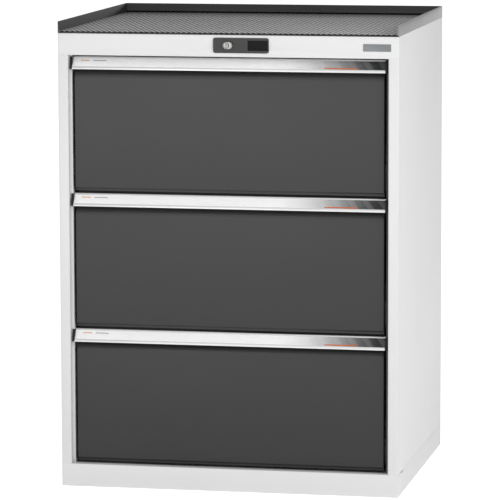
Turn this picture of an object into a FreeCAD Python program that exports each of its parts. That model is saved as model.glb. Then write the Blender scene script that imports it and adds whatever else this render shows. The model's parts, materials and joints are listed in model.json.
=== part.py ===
"""Tool cabinet with three full-extension drawers, a lock and a rubber-matted tray on top.

Millimetres. X runs to the right, Y into the cabinet and Z up. The origin is on the floor,
in the middle of the cabinet's outline, lock included.
"""
import FreeCAD, Part
import math
import os
import Sketcher

document = FreeCAD.newDocument("ToolCabinet")
sheet = document.addObject("Spreadsheet::Sheet", "Sizes")


class Length:
    """A length that knows its number and its formula over the sheet's cells."""

    def __init__(self, number, formula):
        self.number = number
        self.formula = formula

    def __add__(self, other):
        other = as_length(other)
        return Length(self.number + other.number, f"({self.formula} + {other.formula})")

    def __sub__(self, other):
        other = as_length(other)
        return Length(self.number - other.number, f"({self.formula} - {other.formula})")

    def __mul__(self, other):
        other = as_length(other)
        return Length(self.number * other.number, f"({self.formula} * {other.formula})")

    def __truediv__(self, other):
        other = as_length(other)
        return Length(self.number / other.number, f"({self.formula} / {other.formula})")

    def __rsub__(self, other):
        return as_length(other) - self

    def __neg__(self):
        return self * -1

    __radd__ = __add__
    __rmul__ = __mul__


def as_length(value):
    """A plain number as a length; a length stays as it is."""
    if isinstance(value, Length):
        return value
    return Length(value, f"({value})")


def root(value):
    """Square root of a product of lengths."""
    return Length(math.sqrt(value.number), f"sqrt({value.formula})")


def size(alias, number):
    """Write one driving size into the sheet and return it as a length."""
    row = 1
    while sheet.getContents(f"A{row}"):
        row += 1
    sheet.set(f"A{row}", alias)
    sheet.set(f"B{row}", str(number))
    sheet.setAlias(f"B{row}", alias)
    return Length(number, f"Sizes.{alias}")


# Housing
housing_width = size("housing_width", 750)
housing_depth = size("housing_depth", 640)
plinth_height = size("plinth_height", 50)
fascia_height = size("fascia_height", 47)
front_pitch = size("front_pitch", 300)  # height that each drawer takes
front_gap = size("front_gap", 3)  # above the plinth
housing_sheet = size("housing_sheet", 1.5)
fold_radius = size("fold_radius", 2.5)  # outside of a folded corner
stile_width = size("stile_width", 22.5)
stile_return = size("stile_return", 33)
ledge_width = size("ledge_width", 5.5)  # stile's ledge beside the drawers' faces
corner_return = size("corner_return", 20)  # fascia folded back at its top and round the corners
rear_flange = size("rear_flange", 20)
plinth_lip = size("plinth_lip", 26)
plinth_foot = size("plinth_foot", 44)
bolt_hole = size("bolt_hole", 11)
bolt_inset = size("bolt_inset", 24)
lift_slot_length = size("lift_slot_length", 36)
lift_slot_height = size("lift_slot_height", 3)
lift_slot_inset = size("lift_slot_inset", 40)
roof_turn = size("roof_turn", 20)  # downturned side edges of the top panel
fit_gap = size("fit_gap", 0.3)  # between pieces that are pushed together

# Tray and mat
rim_height = size("rim_height", 26)
rim_thickness = size("rim_thickness", 3)
tray_sheet = size("tray_sheet", 1.5)
mat_base = size("mat_base", 2.3)
mat_rib_height = size("mat_rib_height", 1.2)
mat_rib_pitch = size("mat_rib_pitch", 11.4)
mat_rib_foot = size("mat_rib_foot", 8)
mat_rib_crest = size("mat_rib_crest", 4)

# Slide posts
post_width = size("post_width", 40)
post_sheet = size("post_sheet", 2)
post_front_set = size("post_front_set", 60)  # from the front plane
post_tail = size("post_tail", 54)  # rear posts' front edge, from the rails' rear ends
post_slot_width = size("post_slot_width", 6)
post_slot_height = size("post_slot_height", 14)

# Roller slides
slide_space = size("slide_space", 25)  # between the opening's edge and the drawer's side
slide_height = size("slide_height", 60)
slide_lift = size("slide_lift", 12)  # above the bottom of the drawer's field
slide_setback = size("slide_setback", 24)  # behind the drawers' faces
slide_length = size("slide_length", 590)
slide_flange = size("slide_flange", 10)
slide_sheet = size("slide_sheet", 2)
slide_hook_height = size("slide_hook_height", 10)
carriage_sheet = size("carriage_sheet", 3)
carriage_margin = size("carriage_margin", 4)  # lower and higher than the rails' edges
roller_diameter = size("roller_diameter", 24)
roller_width = size("roller_width", 8)
running_gap = size("running_gap", 0.3)
roller_inset = size("roller_inset", 20)  # from the carriage's end to its first roller
roller_spacing = size("roller_spacing", 250)

# Drawers
drawer_sheet = size("drawer_sheet", 1.2)
face_set = size("face_set", 13)  # drawers' faces and the stiles' ledges behind the front plane
face_side_gap = size("face_side_gap", 11)
face_lift = size("face_lift", 10.5)  # face's lower edge above the bottom of its field
face_depth = size("face_depth", 20)
joggle_depth = size("joggle_depth", 4.5)
joggle_rise = size("joggle_rise", 4)
lip_lift = size("lip_lift", 2.5)
grip_depth = size("grip_depth", 17)  # hollow behind the handle, from the face
grip_drop = size("grip_drop", 12)  # hollow's lower edge below the handle
tub_lift = size("tub_lift", 15)
tub_height = size("tub_height", 240)
tub_rear_gap = size("tub_rear_gap", 20.5)
hem_width = size("hem_width", 6)
hem_height = size("hem_height", 8)
hem_setback = size("hem_setback", 4)  # behind the front's folded edges

# Handles
handle_gap = size("handle_gap", 4)  # above the handle
handle_height = size("handle_height", 27.3)
handle_reach = size("handle_reach", 26)  # from the hollow's wall to the lower front edge
handle_wall = size("handle_wall", 2)
handle_hook = size("handle_hook", 3)
handle_flange = size("handle_flange", 18)
handle_overhang = size("handle_overhang", 3.5)  # past each side of the drawer's face
handle_brow = size("handle_brow", 8)  # top face in front of the hollow's wall
handle_lip = size("handle_lip", 3)
handle_bead = size("handle_bead", 4.3)
handle_bead_height = size("handle_bead_height", 3)
handle_bead_depth = size("handle_bead_depth", 4.5)
bead_radius = size("bead_radius", 1.3)
label_recess = size("label_recess", 1.4)
label_sheet = size("label_sheet", 0.4)
label_window = size("label_window", 0.8)
cap_width = size("cap_width", 5)
cap_brow = size("cap_brow", 3)  # cap's top in front of the drawer's face
cap_gap = size("cap_gap", 1)  # between a cap and the stile's ledge

# Lock and locking bars
lock_rise = size("lock_rise", 25)  # above the fascia's lower edge
lock_plate_width = size("lock_plate_width", 122)
lock_plate_height = size("lock_plate_height", 33)
lock_plate_sheet = size("lock_plate_sheet", 2.5)
lock_plate_shift = size("lock_plate_shift", 31.5)
lock_plate_corner = size("lock_plate_corner", 5)
badge_width = size("badge_width", 44)
badge_height = size("badge_height", 22)
badge_recess = size("badge_recess", 0.8)
badge_inset = size("badge_inset", 2)
lock_width = size("lock_width", 22)
lock_height = size("lock_height", 16)
lock_head = size("lock_head", 3.5)
lock_shank = size("lock_shank", 15)
lock_length = size("lock_length", 14)  # behind the front plane
lock_nut_flats = size("lock_nut_flats", 22)
lock_nut_height = size("lock_nut_height", 4)
barrel_diameter = size("barrel_diameter", 11.4)
key_slot_height = size("key_slot_height", 7)
key_slot_width = size("key_slot_width", 1.4)
key_slot_depth = size("key_slot_depth", 5)
crank_radius = size("crank_radius", 10)
crank_width = size("crank_width", 8)
crank_sheet = size("crank_sheet", 3)
crank_pin = size("crank_pin", 4)
pin_play = size("pin_play", 0.5)
bar_setback = size("bar_setback", 24)  # cross bar behind the front plane
cross_bar_sheet = size("cross_bar_sheet", 3)
cross_bar_drop = size("cross_bar_drop", 16)  # below the lock's axis
cross_bar_top = size("cross_bar_top", 14)
cross_bar_tail = size("cross_bar_tail", 24)
cross_bar_end_gap = size("cross_bar_end_gap", 2.5)
lock_bar_sheet = size("lock_bar_sheet", 2.5)
lock_bar_set = size("lock_bar_set", 5)  # outward from the opening's edge
lock_bar_width = size("lock_bar_width", 30)
lock_bar_neck = size("lock_bar_neck", 15)
hook_height = size("hook_height", 12)
hook_clearance = size("hook_clearance", 4)  # above the slide and below the catch
hook_reach = size("hook_reach", 11.5)  # inward from the opening's edge
hook_sheet = size("hook_sheet", 3)
catch_height = size("catch_height", 20)
catch_length = size("catch_length", 20)
catch_sheet = size("catch_sheet", 2)
catch_gap = size("catch_gap", 1.3)  # between a raised hook and the catch behind it
guide_height = size("guide_height", 12)
guide_wall = size("guide_wall", 3)
near_clip = size("near_clip", 117)  # cross bar's clips, from the lock's axis
far_clip = size("far_clip", 264)

drawer_count = 3
slots_per_field = 4
same_place = 0.001  # closer than this, two points are one
least_cut = 0.1  # volume that any pocket takes away at least
roof_height = plinth_height + front_gap + drawer_count * front_pitch + fascia_height
fascia_bottom = roof_height - fascia_height
half_width = housing_width / 2
inner_half = half_width - housing_sheet
opening_half = half_width - stile_width
front = (lock_plate_sheet + lock_head - housing_depth) / 2
back = front + housing_depth
front_inside = front + housing_sheet
ledge_half = opening_half - ledge_width
face_front = front + face_set
grip_wall = face_front + grip_depth
tub_half = opening_half - slide_space
tub_rear = back - tub_rear_gap
face_half = opening_half - face_side_gap
handle_half = face_half + handle_overhang
slide_front = face_front + slide_setback
slide_rear = slide_front + slide_length
post_places = (front + post_front_set, slide_rear - post_tail)  # front edges of the posts
carriage_middle = (opening_half + tub_half) / 2
track_height = roller_diameter + 2 * (running_gap + slide_sheet)
lock_axis = fascia_bottom + lock_rise
diagonal = math.sqrt(0.5)
lock_travel = crank_radius * (2 * diagonal)
bar_front = front + bar_setback
bar_rear = bar_front + cross_bar_sheet
lug_front = bar_rear + 2 * running_gap  # front of what passes behind the cross bar
lock_bar_near = opening_half + lock_bar_set
lock_bar_far = lock_bar_near + lock_bar_sheet
hook_front = front + stile_return + 2 * hook_clearance
hook_rear = hook_front + hook_sheet

# Plane that each profile lies in, and whether that plane looks along its axis or against it
planes = {"x": ("YZ_Plane", 1), "y": ("XZ_Plane", -1), "z": ("XY_Plane", 1)}
sub_parts = []


def field_bottom(number):
    """Lower edge of a drawer's field; drawer 1 is at the top."""
    return plinth_height + front_gap + (drawer_count - number) * front_pitch


def new_body(label):
    """An empty body under its own label."""
    body = document.addObject("PartDesign::Body", label)
    body.Label = label
    return body


def keep(piece):
    """Put a finished piece on the list of sub-parts."""
    sub_parts.append(piece)
    return piece


def keep_group(label, bodies):
    """Like pieces that share one node as separate solids."""
    group = document.addObject("Part::Compound", label)
    group.Label = label
    group.Links = bodies
    return keep(group)


def in_order(span):
    """The two ends of a span, the lower one first."""
    return sorted(span, key=lambda end: end.number)


def rectangle(across, upward):
    """Corners of a rectangle between two spans."""
    left, right = in_order([as_length(end) for end in across])
    low, high = in_order([as_length(end) for end in upward])
    return [(left, low), (right, low), (right, high), (left, high)]


def circle(across, upward, diameter):
    """A round outline."""
    return {"centre": (as_length(across), as_length(upward)), "radius": diameter / 2}


def dimension(sketch, kind, geometry, point, value):
    """Place one coordinate of a sketch point by a dimension bound to the sheet."""
    number = sketch.addConstraint(Sketcher.Constraint(kind, -1, 1, geometry, point, value.number))
    sketch.setExpression(f"Constraints[{number}]", value.formula)


def draw_polygon(sketch, corners):
    """A closed outline with straight sides and every corner dimensioned."""
    first = sketch.GeometryCount
    count = len(corners)
    points = [FreeCAD.Vector(across.number, upward.number, 0) for across, upward in corners]
    for index in range(count):
        sketch.addGeometry(Part.LineSegment(points[index], points[(index + 1) % count]), False)
    for index, (across, upward) in enumerate(corners):
        following = first + (index + 1) % count
        sketch.addConstraint(Sketcher.Constraint("Coincident", first + index, 2, following, 1))
        dimension(sketch, "DistanceX", first + index, 1, across)
        dimension(sketch, "DistanceY", first + index, 1, upward)


def draw_circle(sketch, outline):
    """A circle with its centre and radius dimensioned."""
    across, upward = outline["centre"]
    radius = outline["radius"]
    centre = FreeCAD.Vector(across.number, upward.number, 0)
    upright = FreeCAD.Vector(0, 0, 1)
    geometry = sketch.addGeometry(Part.Circle(centre, upright, radius.number), False)
    dimension(sketch, "DistanceX", geometry, 3, across)
    dimension(sketch, "DistanceY", geometry, 3, upward)
    number = sketch.addConstraint(Sketcher.Constraint("Radius", geometry, radius.number))
    sketch.setExpression(f"Constraints[{number}]", radius.formula)


def draw(body, axis, place, outlines):
    """A sketch square to the axis, at a place along it."""
    role, facing = planes[axis]
    sketch = body.newObject("Sketcher::SketchObject", "Outline")
    plane = next(item for item in body.Origin.OriginFeatures if item.Role == role)
    sketch.AttachmentSupport = [(plane, "")]
    sketch.MapMode = "FlatFace"
    sketch.setExpression("AttachmentOffset.Base.z", (place * facing).formula)
    for outline in outlines:
        if isinstance(outline, dict):
            draw_circle(sketch, outline)
        else:
            corners = [(as_length(across), as_length(upward)) for across, upward in outline]
            draw_polygon(sketch, corners)
    return sketch


def pad(body, axis, span, *outlines):
    """Material inside the outlines, over a span of the axis."""
    low, high = in_order([as_length(end) for end in span])
    facing = planes[axis][1]
    feature = body.newObject("PartDesign::Pad", "Pad")
    feature.Profile = draw(body, axis, low if facing > 0 else high, outlines)
    feature.setExpression("Length", (high - low).formula)
    return feature


def pocket(body, axis, span, *outlines):
    """Material taken away inside the outlines, over a span of the axis."""
    low, high = in_order([as_length(end) for end in span])
    facing = planes[axis][1]
    feature = body.newObject("PartDesign::Pocket", "Pocket")
    feature.Profile = draw(body, axis, high if facing > 0 else low, outlines)
    feature.setExpression("Length", (high - low).formula)
    return feature


def repeat(body, feature, count, spacing, direction):
    """Copies of a feature in a row, along an axis of its sketch."""
    pattern = body.newObject("PartDesign::LinearPattern", "Row")
    pattern.Originals = [feature]
    pattern.Direction = (feature.Profile[0], [direction])
    pattern.Occurrences = count
    pattern.setExpression("Length", (spacing * (count - 1)).formula)
    body.Tip = pattern
    return pattern


def round_edges(body, axis, radius, places):
    """Fillet the straight edges that run along an axis through the given places."""
    document.recompute()
    feature = body.Tip
    kept = {"x": (1, 2), "y": (0, 2), "z": (0, 1)}[axis]
    names = []
    for index, edge in enumerate(feature.Shape.Edges, start=1):
        ends = [(vertex.Point[kept[0]], vertex.Point[kept[1]]) for vertex in edge.Vertexes]
        for across, upward in places:
            place = (as_length(across).number, as_length(upward).number)
            if len(ends) == 2 and all(math.dist(end, place) < same_place for end in ends):
                names.append(f"Edge{index}")
    fillet = body.newObject("PartDesign::Fillet", "Rounded")
    fillet.Base = (feature, names)
    fillet.setExpression("Radius", radius.formula)
    return fillet


def block(label, across, deep, upward):
    """A body with one rectangular pad."""
    body = new_body(label)
    pad(body, "z", upward, rectangle(across, deep))
    return body


# Housing panels


def side_panel(label, side):
    """Folded side: wall, front stile with a ledge and its return, and rear flange."""
    body = new_body(label)
    outer, inner, opening = side * half_width, side * inner_half, side * opening_half
    stile_inside = side * (opening_half + housing_sheet)
    ledge, ledge_inside = side * ledge_half, side * (ledge_half + housing_sheet)
    ledge_rear = face_front + housing_sheet
    flange_end = side * (half_width - rear_flange)
    outline = [
        (outer, front),
        (outer, back),
        (flange_end, back),
        (flange_end, back - housing_sheet),
        (inner, back - housing_sheet),
        (inner, front_inside),
        (stile_inside, front_inside),
        (stile_inside, ledge_rear),
        (ledge_inside, ledge_rear),
        (ledge_inside, front + stile_return),
        (ledge, front + stile_return),
        (ledge, face_front),
        (opening, face_front),
        (opening, front),
    ]
    pad(body, "z", (plinth_height, roof_height), outline)
    notch = [
        (ledge, front),
        (outer, front),
        (outer, front + corner_return),
        (inner, front + corner_return),
        (inner, front + stile_return),
        (ledge, front + stile_return),
    ]
    pocket(body, "z", (fascia_bottom, roof_height), notch)
    folds = [(outer, front), (outer, back), (opening, front), (ledge, face_front)]
    round_edges(body, "z", fold_radius, folds)
    bends = [(inner, front_inside), (inner, back - housing_sheet), (stile_inside, front_inside)]
    bends.append((ledge_inside, ledge_rear))
    round_edges(body, "z", fold_radius - housing_sheet, bends)
    return keep(body)


def base_frame():
    """Plinth ring with a C section, floor bolt holes and a lifting slot in each side."""
    body = new_body("base_frame")
    top = plinth_height - housing_sheet

    def ring(inset):
        """Rectangle inset from the cabinet's outline."""
        across = (inset - half_width, half_width - inset)
        return rectangle(across, (front + inset, back - inset))

    pad(body, "z", (0, plinth_height), ring(as_length(0)))
    pocket(body, "z", (housing_sheet, plinth_height), ring(plinth_lip))
    pocket(body, "z", (housing_sheet, top), ring(housing_sheet))
    pocket(body, "z", (0, housing_sheet), ring(plinth_foot))
    bolt_x = half_width - bolt_inset
    holes = []
    for side in (-1, 1):
        for deep in (front + bolt_inset, back - bolt_inset):
            holes.append(circle(side * bolt_x, deep, bolt_hole))
    pocket(body, "z", (0, housing_sheet), *holes)
    slot_deep = (front + lift_slot_inset, front + lift_slot_inset + lift_slot_length)
    slot_high = (top - lift_slot_height, top)
    pocket(body, "x", (-half_width, -inner_half), rectangle(slot_deep, slot_high))
    pocket(body, "x", (inner_half, half_width), rectangle(slot_deep, slot_high))
    corners = [(side * half_width, deep) for side in (-1, 1) for deep in (front, back)]
    round_edges(body, "z", fold_radius, corners)
    walls_inside = (front_inside, back - housing_sheet)
    inside = [(side * inner_half, deep) for side in (-1, 1) for deep in walls_inside]
    round_edges(body, "z", fold_radius - housing_sheet, inside)
    return keep(body)


def floor_panel():
    """Sheet under the plinth's inner lip."""
    reach = inner_half - fold_radius
    deep = (front_inside + fold_radius, back - housing_sheet - fold_radius)
    high = (plinth_height - 2 * housing_sheet, plinth_height - housing_sheet)
    return keep(block("floor_panel", (-reach, reach), deep, high))


def back_panel():
    """Sheet behind the slides, against the side panels' rear flanges."""
    reach = inner_half - fold_radius
    deep = (back - 2 * housing_sheet, back - housing_sheet)
    high = (plinth_height, roof_height - housing_sheet)
    return keep(block("back_panel", (-reach, reach), deep, high))


def top_panel():
    """Roof sheet with downturned side edges."""
    body = new_body("top_panel")
    reach = inner_half - fit_gap
    rear = back - 2 * housing_sheet
    sheet_high = (roof_height - housing_sheet, roof_height)
    pad(body, "z", sheet_high, rectangle((-reach, reach), (front + corner_return, rear)))
    turns = []
    for side in (-1, 1):
        across = (side * reach, side * (reach - housing_sheet))
        turns.append(rectangle(across, (front + post_front_set, rear)))
    pad(body, "z", (roof_height - roof_turn, roof_height - housing_sheet), *turns)
    return keep(body)


def front_fascia():
    """Strip above the drawers, folded at the top, bottom and corners, with the lock's hole."""
    body = new_body("front_fascia")
    section = [
        (front, fascia_bottom),
        (front, roof_height),
        (front + corner_return, roof_height),
        (front + corner_return, roof_height - housing_sheet),
        (front_inside, roof_height - housing_sheet),
        (front_inside, fascia_bottom),
    ]
    pad(body, "x", (-half_width, half_width), section)
    shelf = rectangle((-opening_half, opening_half), (front_inside, front + stile_return))
    pad(body, "z", (fascia_bottom, fascia_bottom + housing_sheet), shelf)
    wraps = []
    for side in (-1, 1):
        across = (side * inner_half, side * half_width)
        wraps.append(rectangle(across, (front_inside, front + corner_return)))
    pad(body, "z", (fascia_bottom, roof_height - housing_sheet), *wraps)
    pocket(body, "y", (front, front_inside), circle(0, lock_axis, lock_shank + 2 * fit_gap))
    round_edges(body, "z", fold_radius, [(-half_width, front), (half_width, front)])
    bends = [(-inner_half, front_inside), (inner_half, front_inside)]
    round_edges(body, "z", fold_radius - housing_sheet, bends)
    return keep(body)


def rail_posts():
    """Four perforated uprights between the side walls and the slides."""
    posts = []
    for side in (-1, 1):
        for near in post_places:
            far = near + post_width
            face, wall = side * opening_half, side * inner_half
            web = side * (opening_half + post_sheet)
            outline = [
                (face, near),
                (wall, near),
                (wall, near + post_sheet),
                (web, near + post_sheet),
                (web, far - post_sheet),
                (wall, far - post_sheet),
                (wall, far),
                (face, far),
            ]
            post = new_body("rail_post")
            pad(post, "z", (plinth_height, fascia_bottom), outline)
            middle = (near + far) / 2
            slot_wide = (middle - post_slot_width / 2, middle + post_slot_width / 2)
            lowest = slide_middle(drawer_count)
            slot_high = (lowest - post_slot_height / 2, lowest + post_slot_height / 2)
            slot = pocket(post, "x", (face, web), rectangle(slot_wide, slot_high))
            count = slots_per_field * drawer_count
            repeat(post, slot, count, front_pitch / slots_per_field, "V_Axis")
            posts.append(post)
    return keep_group("rail_posts", posts)


# Tray and mat


def tray():
    """Worktop tray with a rim on three sides."""
    body = new_body("tray")
    outline = rectangle((-half_width, half_width), (front, back))
    pad(body, "z", (roof_height, roof_height + tray_sheet), outline)
    rim_inside = half_width - rim_thickness
    rim = [
        (-half_width, front),
        (-half_width, back),
        (half_width, back),
        (half_width, front),
        (rim_inside, front),
        (rim_inside, back - rim_thickness),
        (-rim_inside, back - rim_thickness),
        (-rim_inside, front),
    ]
    pad(body, "z", (roof_height + tray_sheet, roof_height + rim_height), rim)
    round_edges(body, "z", fold_radius, [(-half_width, back), (half_width, back)])
    return keep(body)


def rubber_mat():
    """Ribbed mat that fills the tray."""
    body = new_body("rubber_mat")
    reach = half_width - rim_thickness - fit_gap
    deep = (front, back - rim_thickness - fit_gap)
    low = roof_height + tray_sheet
    pad(body, "z", (low, low + mat_base), rectangle((-reach, reach), deep))
    middle = mat_rib_pitch / 2 - reach
    foot, crest = mat_rib_foot / 2, mat_rib_crest / 2
    top = low + mat_base + mat_rib_height
    section = [
        (middle - foot, low + mat_base),
        (middle + foot, low + mat_base),
        (middle + crest, top),
        (middle - crest, top),
    ]
    rib = pad(body, "y", deep, section)
    count = int(2 * reach.number / mat_rib_pitch.number)
    repeat(body, rib, count, mat_rib_pitch, "H_Axis")
    return keep(body)


# Lock


def lock_plate():
    """Plate round the lock, with a bare sunk panel at its right end."""
    body = new_body("lock_plate")
    left = lock_plate_shift - lock_plate_width / 2
    right = lock_plate_shift + lock_plate_width / 2
    low, high = lock_axis - lock_plate_height / 2, lock_axis + lock_plate_height / 2
    pad(body, "y", (front - lock_plate_sheet, front), rectangle((left, right), (low, high)))
    pocket(body, "y", (front - lock_plate_sheet, front), circle(0, lock_axis, lock_shank + 2 * fit_gap))
    panel_right = right - badge_inset
    panel_high = (lock_axis - badge_height / 2, lock_axis + badge_height / 2)
    panel = rectangle((panel_right - badge_width, panel_right), panel_high)
    pocket(body, "y", (front - lock_plate_sheet, front - lock_plate_sheet + badge_recess), panel)
    corners = [(across, upward) for across in (left, right) for upward in (low, high)]
    round_edges(body, "y", lock_plate_corner, corners)
    return keep(body)


def lock_housing():
    """Oval lock body with a round shank through the plate and fascia."""
    body = new_body("lock_housing")
    seat = front - lock_plate_sheet
    head = (seat - lock_head, seat)
    far = lock_width - lock_height
    bore = barrel_diameter + 2 * fit_gap
    upward = (lock_axis - lock_height / 2, lock_axis + lock_height / 2)
    pad(body, "y", head, rectangle((0, far), upward))
    pad(body, "y", head, circle(0, lock_axis, lock_height))
    pad(body, "y", head, circle(far, lock_axis, lock_height))
    pad(body, "y", (seat, front + lock_length), circle(0, lock_axis, lock_shank))
    pocket(body, "y", (head[0], front + lock_length), circle(0, lock_axis, bore))
    return keep(body)


def lock_nut():
    """Hexagon nut that holds the lock from behind the fascia."""
    body = new_body("lock_nut")
    reach = lock_nut_flats / math.sqrt(3)
    corners = []
    for turn in range(6):
        angle = turn * math.pi / 3
        corners.append((reach * math.cos(angle), lock_axis + reach * math.sin(angle)))
    span = (front_inside, front_inside + lock_nut_height)
    pad(body, "y", span, corners)
    pocket(body, "y", span, circle(0, lock_axis, lock_shank + 2 * fit_gap))
    return keep(body)


def lock_barrel():
    """Turning barrel with its key slot, crank and crank pin; unlocked, the pin is low on the right."""
    body = new_body("lock_barrel")
    nose = front - lock_plate_sheet - lock_head
    crank_rear = bar_front - 2 * running_gap
    crank_front = crank_rear - crank_sheet
    pad(body, "y", (nose, crank_front), circle(0, lock_axis, barrel_diameter))
    half_slot = key_slot_width / 2
    upward = (lock_axis - key_slot_height / 2, lock_axis + key_slot_height / 2)
    pocket(body, "y", (nose, nose + key_slot_depth), rectangle((-half_slot, half_slot), upward))
    pin_across = crank_radius * diagonal
    tip = (crank_radius + crank_width) * diagonal
    heel = crank_width * diagonal
    arm = [
        (as_length(0), lock_axis + heel),
        (-heel, lock_axis),
        (pin_across, lock_axis - tip),
        (tip, lock_axis - pin_across),
    ]
    pad(body, "y", (crank_front, crank_rear), arm)
    pin = circle(pin_across, lock_axis - pin_across, crank_pin)
    pad(body, "y", (crank_rear, bar_rear + running_gap), pin)
    return keep(body)


def slanting_slot(across, upward, travel, half_slot):
    """Outline of a slot that rises to the right at 45 degrees from a pin's rest place."""
    edge = half_slot * (2 * diagonal)
    return [
        (across - edge, upward),
        (across, upward - edge),
        (across + travel + edge, upward + travel),
        (across + travel, upward + travel + edge),
    ]


def lock_pin_place():
    """Rest place of the lock bar's pin in the cross bar's slanting slot."""
    play = crank_pin / 2 + pin_play
    across = inner_half - cross_bar_end_gap - lock_travel - 2 * play
    return across, lock_axis - cross_bar_drop + 2 * play


def lock_cross_bar():
    """Flat bar behind the fascia, moved to the left by the crank, with a slanting slot at its end."""
    body = new_body("lock_cross_bar")
    across = (-cross_bar_tail, inner_half - cross_bar_end_gap)
    upward = (lock_axis - cross_bar_drop, lock_axis + cross_bar_top)
    pad(body, "y", (bar_front, bar_rear), rectangle(across, upward))
    play = crank_pin / 2 + pin_play
    pin_across = crank_radius * diagonal
    slot_across = (pin_across - play, pin_across + play)
    slot_high = (lock_axis - crank_radius - play, lock_axis - pin_across + play)
    pocket(body, "y", (bar_front, bar_rear), rectangle(slot_across, slot_high))
    pin_x, pin_z = lock_pin_place()
    pocket(body, "y", (bar_front, bar_rear), slanting_slot(pin_x, pin_z, lock_travel, play))
    return keep(body)


def hook_bottom(number):
    """Lower edge of a drawer's locking hook at rest."""
    return field_bottom(number) + slide_lift + slide_height + hook_clearance


def lock_bar():
    """Upright strip behind the right stile, stepped back at its top to pass the cross bar."""
    body = new_body("lock_bar")
    strip_rear = hook_rear
    strip_front = strip_rear - lock_bar_width
    shoulder = lock_axis - cross_bar_drop - lock_travel - hook_clearance
    lug_top = lock_pin_place()[1] + crank_pin
    outline = [
        (strip_front, hook_bottom(drawer_count)),
        (strip_rear, hook_bottom(drawer_count)),
        (strip_rear, lug_top),
        (lug_front, lug_top),
        (lug_front, shoulder),
        (strip_front, shoulder),
    ]
    pad(body, "x", (lock_bar_near, lock_bar_far), outline)
    return keep(body)


def lock_hooks():
    """Hooks on the lock bar, one for each drawer, and the lug at its top with the pin."""
    pieces = []
    for number in range(1, drawer_count + 1):
        low = hook_bottom(number)
        across = (opening_half - hook_reach, lock_bar_near)
        pieces.append(block("lock_hook", across, (hook_front, hook_rear), (low, low + hook_height)))
    pin_x, pin_z = lock_pin_place()
    lug = new_body("lock_lug")
    outline = rectangle((pin_x - crank_pin, lock_bar_near), (pin_z - crank_pin, pin_z + crank_pin))
    pad(lug, "y", (lug_front, lug_front + hook_sheet), outline)
    pad(lug, "y", (bar_front - running_gap, lug_front), circle(pin_x, pin_z, crank_pin))
    pieces.append(lug)
    return keep_group("lock_hooks", pieces)


def lock_guides():
    """Clips on the side wall and fascia that the two bars slide in."""
    clips = []
    strip_rear = hook_rear
    strip_front = strip_rear - lock_bar_width
    for number in range(1, drawer_count + 1):
        clip = new_body("lock_clip")
        high = field_bottom(number) + front_pitch / 2
        span = (high, high + guide_height)
        across = (lock_bar_near - guide_wall, inner_half)
        pad(clip, "z", span, rectangle(across, (strip_front - guide_wall, strip_rear - hook_sheet)))
        slot_across = (lock_bar_near - fit_gap, lock_bar_far + fit_gap)
        pocket(clip, "z", span, rectangle(slot_across, (strip_front - fit_gap, strip_rear)))
        clips.append(clip)
    low = lock_axis - cross_bar_drop
    high = lock_axis + cross_bar_top
    outside = rectangle((front_inside, bar_rear + guide_wall), (low - guide_wall, high + guide_wall))
    deep = (bar_front - running_gap, bar_rear + running_gap)
    inside = rectangle(deep, (low - running_gap, high + running_gap))
    for middle in (near_clip, far_clip):
        clip = new_body("cross_bar_clip")
        across = (middle - guide_height / 2, middle + guide_height / 2)
        pad(clip, "x", across, outside)
        pocket(clip, "x", across, inside)
        clips.append(clip)
    return keep_group("lock_guides", clips)


# Roller slides


def slide_bottom(number):
    """Lower edge of a drawer's slides."""
    return field_bottom(number) + slide_lift


def slide_middle(number):
    """Mid-height of a drawer's slides."""
    return slide_bottom(number) + slide_height / 2


def rail_section(side, face, way, start, turn, end):
    """Web on a face with a roller track folded out of it from its starting edge."""
    web = side * face
    inner = side * (face + way * slide_sheet)
    edge = side * (face + way * slide_flange)
    return [
        (web, start),
        (edge, start),
        (edge, start + turn * slide_sheet),
        (inner, start + turn * slide_sheet),
        (inner, start + turn * (track_height - slide_sheet)),
        (edge, start + turn * (track_height - slide_sheet)),
        (edge, start + turn * track_height),
        (inner, start + turn * track_height),
        (inner, end),
        (web, end),
    ]


def cabinet_rail(label, number, side):
    """Fixed rail hooked into the posts' slots: track along its bottom, stop at its front end."""
    body = new_body(label)
    low = slide_bottom(number)
    high = low + slide_height
    section = rail_section(side, opening_half, -1, low, 1, high)
    pad(body, "y", (slide_front, slide_rear), section)
    stop_across = (side * (opening_half - slide_flange), side * (opening_half - slide_sheet))
    stop = rectangle(stop_across, (low + slide_sheet, high))
    pad(body, "y", (slide_front, slide_front + slide_sheet), stop)
    middle = slide_middle(number)
    hook_high = (middle - slide_hook_height / 2, middle + slide_hook_height / 2)
    hook_across = (side * opening_half, side * (opening_half + 2 * post_sheet))
    for near in post_places:
        deep = near + post_width / 2
        hook_deep = (deep - post_slot_width / 2 + fit_gap, deep + post_slot_width / 2 - fit_gap)
        pad(body, "y", hook_deep, rectangle(hook_across, hook_high))
    return keep(body)


def drawer_rail(label, number, side):
    """Rail on the drawer's side: track along its top, stop at its rear end."""
    body = new_body(label)
    low = field_bottom(number) + tub_lift
    high = slide_bottom(number) + slide_height
    pad(body, "y", (slide_front, slide_rear), rail_section(side, tub_half, 1, high, -1, low))
    stop_across = (side * (tub_half + slide_sheet), side * (tub_half + slide_flange))
    stop = rectangle(stop_across, (low, high - slide_sheet))
    pad(body, "y", (slide_rear - slide_sheet, slide_rear), stop)
    return keep(body)


def slide_carriage(label, number, side):
    """Middle rail: a strip that carries rollers on both its faces."""
    half_sheet = carriage_sheet / 2
    across = (side * (carriage_middle - half_sheet), side * (carriage_middle + half_sheet))
    low = slide_bottom(number) + carriage_margin
    high = slide_bottom(number) + slide_height - carriage_margin
    return keep(block(label, across, (slide_front, slide_rear), (low, high)))


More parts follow.
